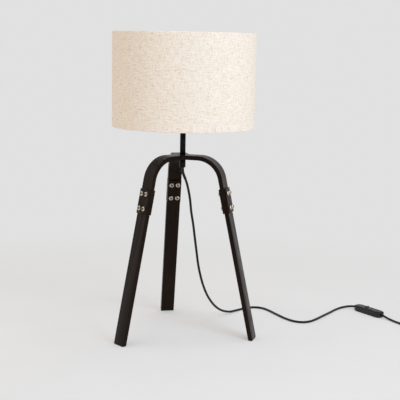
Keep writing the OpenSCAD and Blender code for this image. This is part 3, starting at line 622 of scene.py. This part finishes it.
def finish(name):
    """One of the lamp's finishes, made when it is first asked for."""
    colours = bpy.context.scene.lamp_finishes
    makers = {
        "steel": lambda: coated_steel(tuple(colours.steel)),
        "linen": lambda: woven_linen(tuple(colours.linen), tuple(colours.slub)),
        "backing": backing,
        "glass": clear_glass,
        "strap": looped_strap,
        "bolt": lambda: metal("warm nickel", tuple(colours.nickel), 0.3),
        # Darker nickel: painted shade in the hex sockets of the barrel nuts
        "nickel socket shade": lambda: metal("nickel with painted shade", (0.22, 0.18, 0.15), 0.5),
        "zinc": lambda: metal("zinc", (0.60, 0.60, 0.58), 0.35),
        "brass": lambda: metal("brass", (0.72, 0.52, 0.22), 0.26),
        "aluminium": lambda: metal("aluminium", (0.78, 0.78, 0.77), 0.24, stretch=(1, 1, 6)),
        "pin": lambda: metal("pin nickel", (0.74, 0.71, 0.65), 0.16),
        # Near-black: painted shade in the hex sockets of the bolts
        "recess": lambda: moulded("socket shadow", (0.020, 0.014, 0.010), 0.7, 900),
        "gloss": lambda: moulded("black gloss", (0.005, 0.0045, 0.0045), 0.22, 300,
                                 depth=0.00001, Specular_IOR_Level=0.12),
        "holder": lambda: moulded("black phenolic", (0.018, 0.017, 0.017), 0.32, 600),
        "rubber": lambda: moulded("black rubber", tuple(colours.cord), 0.5, 1100),
        "cord": lambda: moulded("cord sheath", tuple(colours.cord), 0.42, 800),
        "switch": lambda: moulded("switch plastic", (0.018, 0.018, 0.018), 0.4, 1500,
                                  depth=0.00005),
        "rocker": lambda: moulded("rocker plastic", (0.022, 0.021, 0.021), 0.25, 1500,
                                  depth=0.00002),
        "plug": lambda: moulded("plug plastic", tuple(colours.cord), 0.45, 1300, depth=0.00005),
        "felt": lambda: moulded("felt pad", (0.020, 0.019, 0.018), 0.9, 2500, depth=0.0003,
                                cloud=400, spread=0.4, Sheen_Weight=0.3),
        "ceramic": lambda: moulded("glazed ceramic", (0.74, 0.71, 0.64), 0.2, 120, depth=0.00004),
        "enamel": lambda: moulded("white enamel wire", (0.76, 0.75, 0.72), 0.3, 900,
                                  depth=0.000004),
        "insulator": lambda: moulded("black glass", (0.010, 0.009, 0.012), 0.12, 200),
        "filament": lambda: moulded("filament coat", (0.80, 0.55, 0.16), 0.5, 2500,
                                    depth=0.00006),
    }
    if name not in FINISHES:
        FINISHES[name] = makers[name]()
    return FINISHES[name]


# ---- Operators ----


class LAMP_OT_stage(bpy.types.Operator):
    """Places the camera, the lamps, the pale floor and the surroundings"""

    bl_idname = "lamp.stage"
    bl_label = "Stage"
    bl_options = {"REGISTER", "UNDO"}

    def execute(self, context):
        camera = link(bpy.data.objects.new("camera", bpy.data.cameras.new("camera")))
        camera.data.lens = CAMERA_LENS
        camera.data.sensor_width = CAMERA_SENSOR
        camera.data.clip_end = CAMERA_REACH
        camera.matrix_world = (Matrix.Translation(CAMERA_AT) @ rotation(CAMERA_TURN, "Z")
                               @ rotation(CAMERA_TILT, "X") @ rotation(CAMERA_ROLL, "Z"))
        context.scene.camera = camera
        for facts in LAMPS:
            self.lamp(*facts)
        self.floor()
        self.world()
        context.scene.view_settings.view_transform = "Standard"
        return {"FINISHED"}

    def lamp(self, name, place, size, power, colour):
        light = bpy.data.lights.new(name, "AREA")
        light.size = size
        light.energy = power
        light.color = colour
        obj = link(bpy.data.objects.new(name, light))
        obj.location = place
        aim = Vector(LAMPS_FACE) - Vector(place)
        obj.rotation_euler = aim.to_track_quat("-Z", "Y").to_euler()

    def shown(self, tree, first, *others):
        """Sum of the named Light Path outputs, at most 1."""
        rays = tree.nodes.new("ShaderNodeLightPath")
        total = rays.outputs[f"Is {first} Ray"]
        for kind in others:
            both = tree.nodes.new("ShaderNodeMath")
            both.operation = "ADD"
            both.use_clamp = True
            tree.links.new(total, both.inputs[0])
            tree.links.new(rays.outputs[f"Is {kind} Ray"], both.inputs[1])
            total = both.outputs[0]
        return total

    def floor(self):
        """A wide pale floor that fades into the background and keeps a soft shadow."""
        deselect()
        bpy.ops.mesh.primitive_circle_add(vertices=96, radius=FLOOR_R, fill_type="NGON")
        floor = bpy.context.object
        floor.name = "floor"
        edit(floor)
        bpy.ops.mesh.select_all(action="SELECT")
        bpy.ops.mesh.inset(thickness=FLOOR_RIM)
        done()
        made = Finish("pale floor", Roughness=0.9, Specular_IOR_Level=0.05)
        made.cloud(made.coords(), 6, (0.795, 0.833, 0.892), (0.815, 0.853, 0.912))
        far = made.node("Emission", inputs={"Color": (*[BACKGROUND] * 3, 1), "Strength": 1.0})
        near = made.node("TexGradient", {"Vector": made.coords((1 / FLOOR_FADE_R,) * 3)},
                         gradient_type="SPHERICAL").outputs["Fac"]
        # The flat grey's share is 0.35 near the lamp and 1 far off
        share = made.math("MULTIPLY", made.span(near, 1.0, 0.35, 0.78, 0.94),
                          self.shown(made.tree, "Camera", "Glossy", "Transmission"))
        blend = made.node("MixShader", {
            "Fac": share, 1: made.shader.outputs[0], 2: far.outputs[0]})
        output = made.tree.nodes["Material Output"]
        made.tree.links.new(blend.outputs[0], output.inputs["Surface"])
        coat(floor, made.material)

    def world(self):
        """Warm fill, a pale background, and reflections: pale behind and dimmer in front."""
        world = bpy.data.worlds.new("studio")
        bpy.context.scene.world = world
        world.use_nodes = True
        tree = world.node_tree
        tree.nodes.clear()

        def light(colour, strength):
            made = tree.nodes.new("ShaderNodeBackground")
            made.inputs["Color"].default_value = (*colour, 1)
            made.inputs["Strength"].default_value = strength
            return made

        def mixed(factor, first, second):
            made = tree.nodes.new("ShaderNodeMixShader")
            for socket, source in zip(made.inputs, (factor, first.outputs[0], second.outputs[0])):
                tree.links.new(source, socket)
            return made

        fill = light(FILL_COLOUR, FILL_STRENGTH)
        seen = light([BACKGROUND] * 3, 1.0)
        mirrored = light((1.0, 1.0, 1.0), BACKGROUND)
        way = tree.nodes.new("ShaderNodeTexCoord")
        parts = tree.nodes.new("ShaderNodeSeparateXYZ")
        tree.links.new(way.outputs["Generated"], parts.inputs["Vector"])
        dim = tree.nodes.new("ShaderNodeMapRange")
        for socket, value in (("From Min", -0.5), ("From Max", 0.2),
                              ("To Min", 0.16), ("To Max", 1.0)):
            dim.inputs[socket].default_value = value
        tree.links.new(parts.outputs["Y"], dim.inputs["Value"])
        tree.links.new(dim.outputs["Result"], mirrored.inputs["Color"])
        lit = mixed(self.shown(tree, "Glossy"), fill, mirrored)
        total = mixed(self.shown(tree, "Camera", "Transmission"), lit, seen)
        output = tree.nodes.new("ShaderNodeOutputWorld")
        tree.links.new(total.outputs[0], output.inputs["Surface"])


class LAMP_OT_frame(bpy.types.Operator):
    """Makes the tripod: yoke, legs, splice plates, bolts and pads"""

    bl_idname = "lamp.frame"
    bl_label = "Tripod"
    bl_options = {"REGISTER", "UNDO"}

    def execute(self, context):
        edge = context.scene.lamp_sizes.edge
        stand_in("yoke", "frame", "steel", edge, 3)
        for leg, azimuth in LEGS.items():
            stand_in("leg_" + leg, "frame", "steel", edge, 3)
            for side in ("outer", "inner"):
                stand_in(f"{side}_plate_{leg}", "frame", "steel", edge * 0.7)
            # The sockets of the nuts and bolts get painted shade: a darker nickel and a near-black
            for node, recess in (("barrel_nuts_", "nickel socket shade"), ("splice_bolts_", "recess")):
                heads = stand_in(node + leg, "frame", "bolt", 0.0003, angle=40)
                self.darken_sockets(heads, azimuth, recess)
            stand_in("foot_pad_" + leg, "frame", "felt", 0.0004)
        return {"FINISHED"}

    def darken_sockets(self, heads, azimuth, look):
        """Gives the bottoms and walls of the hex sockets their own darker material: painted shade
        in the holes.
        """
        on_leg = (rotation(azimuth - 90, "Z") @ Matrix.Translation((0, FOOT_R * MM, 0))
                  @ rotation(LEG_TILT, "X")).inverted()
        heads.data.materials.append(finish(look))
        dark = 0
        for face in heads.data.polygons:
            spot = on_leg @ face.center
            across = abs(spot.x) - BOLT_X * MM
            along_leg = abs(spot.z - SEAM_S * MM) - BOLT_S * MM
            if abs(spot.y) > SOCKET_Y * MM and math.hypot(across, along_leg) < SOCKET_R * MM:
                face.material_index = 1
                dark += 1
        if not dark:
            raise RuntimeError(f"{heads.name}: no sockets found")


class LAMP_OT_stem(bpy.types.Operator):
    """Makes the stem, its nipple, washer and sleeve nut, and the cord's tapered relief"""

    bl_idname = "lamp.stem"
    bl_label = "Stem"
    bl_options = {"REGISTER", "UNDO"}

    def execute(self, context):
        for node, slot, look, width in (
                ("stem_tube", "stem_black", "gloss", 0.0004),
                ("sleeve_nut", "stem_black", "gloss", 0.0006),
                ("threaded_nipple", "brass", "brass", 0.0002),
                ("lock_washer", "zinc_steel", "zinc", 0.0002)):
            stand_in(node, "frame", look, width)
        paint("rubber", "stem_flex")
        self.relief()
        return {"FINISHED"}

    def relief(self):
        """Tapered and ribbed sleeve of the cord, with a flange inside the sleeve nut."""
        flange_r, start_r, taper, groove = 4.8, 3.7, 0.7, 0.55
        path = catmull(RELIEF_ROUTE, (0, 0, -1), RELIEF_DIR, 0.75)
        last = len(path) - 1
        points = [Vector((0, 0, z)) * MM for z in (364.9, 363.15, 363.1)]
        radii = [flange_r * MM, flange_r * MM, start_r * MM]
        for k, point in enumerate(path):
            depth = groove if 5 < k < last - 4 and k % 4 in (0, 1) else 0.0
            points.append(point * MM)
            radii.append((start_r - taper * k / last - depth) * MM)
        activate(tube_along(points, radii))
        bpy.ops.object.convert(target="MESH")
        relief = bpy.context.object
        edit(relief)
        bpy.ops.mesh.select_all(action="SELECT")
        bpy.ops.mesh.remove_doubles(threshold=1e-6)
        bpy.ops.mesh.normals_make_consistent(inside=False)
        done()
        settle(relief, "cord_relief.made", "frame", "rubber", 50, ["cord_relief"])


class LAMP_OT_holder(bpy.types.Operator):
    """Makes the lampholder with its threaded skirt and the two ribbed shade rings"""

    bl_idname = "lamp.holder"
    bl_label = "Lampholder"
    bl_options = {"REGISTER", "UNDO"}

    def execute(self, context):
        sizes = context.scene.lamp_sizes
        stand_in("holder_cap", "frame", "holder", 0.0006, 3)
        self.skirt(sizes.thread_pitch)
        for node in ("lower_shade_ring", "upper_shade_ring"):
            self.ring(node, sizes.grip_ribs)
        stand_in("holder_insert", "frame", "ceramic", 0.0005)
        self.shell()
        stand_in("centre_contact", "frame", "brass", 0.0001)
        stand_in("terminal_screws", "frame", "zinc", 0.0002)
        return {"FINISHED"}

    def skirt(self, pitch):
        low, high = heights("holder_skirt")
        bore, wall_r, flange_r, flange_h = 17.5, 19.5, 21, 3
        flange = [(bore, low), (flange_r - 0.4, low), (flange_r, low + 0.4),
                  (flange_r, low + flange_h - 0.4), (flange_r - 0.4, low + flange_h)]
        wall = [(wall_r, z) for z in steps_between(low + flange_h, high - 0.6, 0.4)]
        top = [(wall_r - 0.5, high), (bore + 0.3, high), (bore, high - 0.4), (bore, low)]
        skirt = turned(flange + wall + top, 96)
        wind(skirt, (low + flange_h + 1) * MM, (high - 1) * MM, pitch, 0.0006, wall_r * MM)
        settle(skirt, "holder_skirt.made", "frame", "holder", 60, ["holder_skirt"])

    def ring(self, node, ribs):
        low, high = heights(node)
        bore, outer_r = 19.6, 26.4
        profile = [(bore, low), (outer_r - 0.8, low), (outer_r, low + 0.5), (outer_r, high - 0.5),
                   (outer_r - 0.8, high), (bore + 0.6, high), (bore, high - 0.6), (bore, low)]
        ring = turned(profile, ribs * 2)
        edit(ring)

        def rib(face):
            """Every other face of the outer wall."""
            middle = face.calc_center_median()
            index = round(math.degrees(math.atan2(middle.y, middle.x)) * ribs / 180 - 0.5)
            outside = math.hypot(middle.x, middle.y) > (outer_r - 0.4) * MM
            return outside and abs(face.normal.z) < 0.1 and index % 2 == 0

        pick_faces(ring, rib)
        bpy.ops.mesh.inset(thickness=0.0004, depth=0.00055, use_individual=True)
        done()
        settle(ring, node + ".made", "frame", "holder", 40, [node])

    def shell(self):
        """Screw shell, plain inside, where the bulb's cap hides it."""
        low, high = heights("screw_shell")
        bore, outer_r, lip = 13.5, 14, 13.8
        shell = turned([(outer_r, low + 0.3), (outer_r, high - 0.3), (lip, high), (bore, low),
                        (lip, low), (outer_r, low + 0.3)], 96)
        settle(shell, "screw_shell.made", "frame", "brass", 60, ["screw_shell"])


class LAMP_OT_shade(bpy.types.Operator):
    """Makes the drum shade: linen and its seam, stiff backing, hoops, spokes and fitter ring"""

    bl_idname = "lamp.shade"
    bl_label = "Shade"
    bl_options = {"REGISTER", "UNDO"}

    def execute(self, context):
        stand_in("fitter_ring", "shade", "enamel", 0.0004)
        stand_in("shade_spider", "shade", "enamel", 0, shade=60)
        stand_in("top_hoop", "shade", "enamel", 0, shade=60)
        self.liner()
        self.fabric(context.scene.lamp_sizes.seam_w)
        return {"FINISHED"}

    def liner(self):
        low, high = heights("shade_liner")
        inner_r, outer_r = 148.62, 149.26
        outside = [(outer_r, z) for z in steps_between(low + 2, high - 2, 12)]
        liner = turned([(inner_r, low), (outer_r, low)] + outside
                       + [(outer_r, high), (inner_r, high), (inner_r, low)], 192)
        settle(liner, "shade_liner.made", "shade", "backing", 40, ["shade_liner"])

    def fabric(self, seam_w):
        """Linen round the drum, rolled over both edges and turned in."""
        low, high = heights("shade_fabric")
        r, hem, hem_r, roll_r, roll_h = 149.98, 8.0, 145.4, 1.2, 1.4

        def at_top(points):
            return [(p, low + high - z) for p, z in reversed(points)]

        low_hem = [(hem_r, low + hem), (hem_r, low + hem * 0.5), (hem_r + 0.2, low + 1.2),
                   (hem_r + 1, low + 0.2)]
        low_roll = [(r - roll_r * (1 - math.sin(a)), low + roll_h - roll_h * math.cos(a))
                    for a in (math.radians(15 * k) for k in range(6))]
        wall = [(r, z) for z in steps_between(low + roll_h, high - roll_h, 4)]
        fabric = turned(low_hem + low_roll + wall + at_top(low_roll) + at_top(low_hem), 240)
        self.ripple(fabric)
        self.unroll(fabric, low)
        modify(fabric, "SOLIDIFY", thickness=0.00055, offset=-1)
        settle(fabric, "shade_fabric.made", "shade", "linen", 50, ["shade_fabric"])
        seam = self.seam(low, high, seam_w)

    def ripple(self, fabric):
        """Slight unevenness of cloth glued round a drum; the turned-in edges stay."""
        wall_from, swing, drawn_in = 0.1475, 0.00008, 0.00013
        for v in fabric.data.vertices:
            r, angle = math.hypot(v.co.x, v.co.y), math.atan2(v.co.y, v.co.x)
            if r < wall_from:
                continue
            wave = math.sin(5 * angle + 31 * v.co.z) + 0.6 * math.sin(13 * angle - 47 * v.co.z)
            out = r + swing * wave - drawn_in
            v.co.x *= out / r
            v.co.y *= out / r

    def unroll(self, obj, low):
        """UV map in metres: round the drum and up it, cut at the back."""
        mesh = obj.data
        uv = (mesh.uv_layers.get("cloth") or mesh.uv_layers.new(name="cloth")).data
        drum_r = SHADE_R * MM
        for face in mesh.polygons:
            base = None
            for loop in face.loop_indices:
                co = mesh.vertices[mesh.loops[loop].vertex_index].co
                turn = (math.atan2(co.y, co.x) - math.pi / 2) % math.tau
                if base is None:
                    base = turn
                elif turn - base > math.pi:
                    turn -= math.tau
                elif base - turn > math.pi:
                    turn += math.tau
                inward = drum_r - math.hypot(co.x, co.y)
                side = 1 if co.z > SHADE_MIDDLE * MM else -1
                uv[loop].uv = (turn * drum_r, co.z - low * MM + side * inward)

    def seam(self, low, high, width):
        """Overlap of the cloth's two ends at the back of the shade."""
        short, edge_w, fray_w, under_r, lift = 0.6, 0.0012, 0.00006, 0.1499, 0.00042
        deselect()
        bpy.ops.mesh.primitive_plane_add(size=1)
        strip = bpy.context.object
        sized(strip, width, (high - low - short) * MM, 1)
        edit(strip)
        bpy.ops.mesh.select_all(action="SELECT")
        bpy.ops.mesh.subdivide(number_cuts=23)
        done()
        middle = (low + high) / 2 * MM
        for v in strip.data.vertices:
            edge = min(1, (width / 2 - abs(v.co.x)) / edge_w)
            fray = fray_w * math.sin(900 * v.co.y) * (1 - edge)
            angle = math.pi / 2 - (v.co.x + fray) / (SHADE_R * MM)
            out = under_r + lift * max(edge, 0) ** 0.5
            v.co = (out * math.cos(angle), out * math.sin(angle), middle + v.co.y)
        self.unroll(strip, low)
        for loop in strip.data.uv_layers["cloth"].data:
            loop.uv.x += 0.37
        modify(strip, "SOLIDIFY", thickness=0.0003, offset=-1)
        return settle(strip, "shade_seam", "shade", "linen", 50)


class LAMP_OT_bulb(bpy.types.Operator):
    """Makes the bulb: glass, threaded cap, insulator, contact and filaments"""

    bl_idname = "lamp.bulb"
    bl_label = "Bulb"
    bl_options = {"REGISTER", "UNDO"}

    def execute(self, context):
        self.glass()
        self.cap()
        stand_in("bulb_insulator", "bulb", "insulator", 0.0004)
        stand_in("bulb_contact", "bulb", "zinc", 0.0003)
        stand_in("bulb_filament", "bulb", "filament", 0.0001, shade=50)
        return {"FINISHED"}

    def glass(self):
        low, high = heights("bulb_glass")
        neck_r, globe_r, wall = 12.6, 30, 0.8
        middle, neck_end = high - globe_r, heights("bulb_cap")[1] + 2
        swell = (globe_r - neck_r) / 2
        outer = [(neck_r, low), (neck_r, neck_end)]
        outer += [(neck_r + swell * (1 - math.cos(math.radians(15 * k))),
                   neck_end + (middle - neck_end) * k / 12) for k in range(1, 13)]
        outer += [(globe_r * math.cos(a), middle + globe_r * math.sin(a))
                  for a in (math.radians(6 * k) for k in range(1, 15))]
        inner = [(max(r - wall * r / globe_r, 0.2) if z > middle else r - wall,
                  z - wall * max(0, (z - middle) / globe_r)) for r, z in reversed(outer)]
        glass = turned(outer + [(0, high), (0, high - wall)] + inner + [(neck_r, low)], 72)
        settle(glass, "bulb_glass.made", "bulb", "glass", 50, ["bulb_glass"])

    def cap(self):
        low, high = heights("bulb_cap")
        thread_r, bore, end_r = 13.1, 12.6, 8.2
        wall = [(thread_r, z) for z in steps_between(low + 1.6, high - 1, 0.35)]
        cap = turned([(end_r, low), (11.5, low), (12.9, low + 1.2)] + wall
                     + [(12.75, high), (bore, high), (bore, low + 1.6), (11.2, low + 0.4),
                        (end_r, low + 0.4), (end_r, low)], 96)
        wind(cap, (low + 2) * MM, (high - 3) * MM, SCREW_PITCH * MM, 0.0004, thread_r * MM)
        settle(cap, "bulb_cap.made", "bulb", "aluminium", 60, ["bulb_cap"])


class LAMP_OT_switch(bpy.types.Operator):
    """Makes the inline switch: its two shells, rocker, pin, screws and contacts"""

    bl_idname = "lamp.switch"
    bl_label = "Switch"
    bl_options = {"REGISTER", "UNDO"}

    def execute(self, context):
        stand_in("switch_base", "frame", "switch", 0.0005, 3)
        stand_in("switch_cover", "frame", "switch", 0.0006, 3)
        stand_in("switch_rocker", "rocker", "rocker", 0.0005, 3)
        paint("zinc", "rocker_pin", "switch_screws")
        paint("brass", "switch_contacts")
        paint("rubber", "switch_flex")
        return {"FINISHED"}


class LAMP_OT_plug(bpy.types.Operator):
    """Makes the plug with its grip, pins and ribbed relief, and the strap round the coil"""

    bl_idname = "lamp.plug"
    bl_label = "Plug and strap"
    bl_options = {"REGISTER", "UNDO"}

    def execute(self, context):
        place = along(PLUG_AZIMUTH, plug_place()[1])
        stand_in("plug_body", "frame", "plug", 0.0018, 4)
        stand_in("plug_pins", "frame", "pin", 0.0002)
        stand_in("coil_tie", "frame", "strap", 0.0004)
        self.relief(place)
        self.grip(place)
        return {"FINISHED"}

    def relief(self, place):
        """Ribbed sleeve of the cord, which widens toward the plug."""
        ribs, first, pitch, start_r, end_r, length = 7, 3, 3.6, 3.1, 5, 30
        profile = [(0, 0), (start_r, 0)]
        for k in range(ribs):
            u = first + k * pitch
            r = start_r + (end_r - start_r) * u / length
            profile += [(r, u), (r - 0.8, u + 0.4), (r - 0.7, u + 1.4), (r + 0.12, u + 1.8)]
        relief = turned(profile + [(end_r, length - 0.4), (end_r, length), (0, length)], 40)
        settle(relief, "plug_relief.made", "frame", "plug", 50, ["plug_relief"],
               place)

    def grip(self, place):
        """Ridges across both flats of the plug."""
        ridges_a_side, first, pitch, flat = 5, 45, 3.2, 6.6
        deselect()
        bpy.ops.mesh.primitive_cube_add(size=1)
        ridge = bpy.context.object
        sized(ridge, 0.0008, 0.014, 0.0012)
        ease(ridge, 0.00035)
        ridges = []
        for side in (-1, 1):
            for k in range(ridges_a_side):
                copy = twin(ridge)
                copy.location = (side * flat * MM, 0, (first + pitch * k) * MM)
                ridges.append(copy)
        activate(ridges[0])
        for copy in ridges:
            copy.select_set(True)
        bpy.ops.object.join()
        grip = bpy.context.object
        bpy.data.objects.remove(ridge)
        settle(grip, "plug_grip", "frame", "plug", 40, place=place)


class LAMP_OT_cord(bpy.types.Operator):
    """Lays the cord: down from the stem, through the switch, round its coil and into the plug"""

    bl_idname = "lamp.cord"
    bl_label = "Cord"
    bl_options = {"REGISTER", "UNDO"}

    def execute(self, context):
        sizes = context.scene.lamp_sizes
        ahead = heading(SWITCH_AZIMUTH)
        switch_in = Vector(SWITCH_AT) - ahead * SWITCH_L / 2
        switch_out = Vector(SWITCH_AT) + ahead * SWITCH_L / 2
        start = coil_spot(COIL_START)
        end, plug_at = plug_place()
        into_plug = heading(PLUG_AZIMUTH)
        to_switch = DROP_ROUTE + FLOOR_ROUTE + [switch_in]
        to_coil = [switch_out] + EDGE_ROUTE + [start]
        to_plug = [end, end + Vector((10, -6.7, -1.6)), plug_at + Vector((-10, 6.7, 0.6)), plug_at]
        path = catmull(to_switch, RELIEF_DIR, ahead, CORD_STEP)
        path += [switch_in + ahead * SWITCH_L * k / 8 for k in range(1, 8)]
        path += catmull(to_coil, ahead, heading(COIL_START + 90), CORD_STEP)
        path += [coil_spot(angle) for angle in range(COIL_START + COIL_STEP, COIL_END, COIL_STEP)]
        path += catmull(to_plug, heading(COIL_END + 90), into_plug, 4)
        path += [plug_at + into_plug * 8 * k for k in (1, 2, 3)]
        cord = tube_along([p * MM for p in path], [sizes.cord_d / 2] * len(path))
        coat(cord, finish("cord"))
        cord.name = cord.data.name = "cord"
        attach(cord, "frame")
        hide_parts("cord_to_switch", "cord_to_coil", "cord_coil", "cord_to_plug")
        return {"FINISHED"}


OPERATORS = (LAMP_OT_stage, LAMP_OT_frame, LAMP_OT_stem, LAMP_OT_holder, LAMP_OT_shade,
             LAMP_OT_bulb, LAMP_OT_switch, LAMP_OT_plug, LAMP_OT_cord)


class LAMP_PT_panel(bpy.types.Panel):
    """Lists the lamp's operators, sizes and colours"""

    bl_idname = "LAMP_PT_panel"
    bl_label = "Tripod table lamp"
    bl_space_type = "VIEW_3D"
    bl_region_type = "UI"
    bl_category = "Lamp"

    def draw(self, context):
        for operator in OPERATORS:
            self.layout.operator(operator.bl_idname)
        for group in (context.scene.lamp_sizes, context.scene.lamp_finishes):
            for name in type(group).__annotations__:
                self.layout.prop(group, name)


CLASSES = (LampSizes, LampFinishes, *OPERATORS, LAMP_PT_panel)


def register():
    for made in CLASSES:
        bpy.utils.register_class(made)
    bpy.types.Scene.lamp_sizes = bpy.props.PointerProperty(type=LampSizes)
    bpy.types.Scene.lamp_finishes = bpy.props.PointerProperty(type=LampFinishes)


def unregister():
    del bpy.types.Scene.lamp_finishes
    del bpy.types.Scene.lamp_sizes
    for made in reversed(CLASSES):
        bpy.utils.unregister_class(made)


def main():
    register()
    bpy.ops.lamp.stage()
    bpy.ops.lamp.frame()
    bpy.ops.lamp.stem()
    bpy.ops.lamp.holder()
    bpy.ops.lamp.shade()
    bpy.ops.lamp.bulb()
    bpy.ops.lamp.switch()
    bpy.ops.lamp.plug()
    bpy.ops.lamp.cord()
    deselect()


if __name__ == "__main__":
    main()
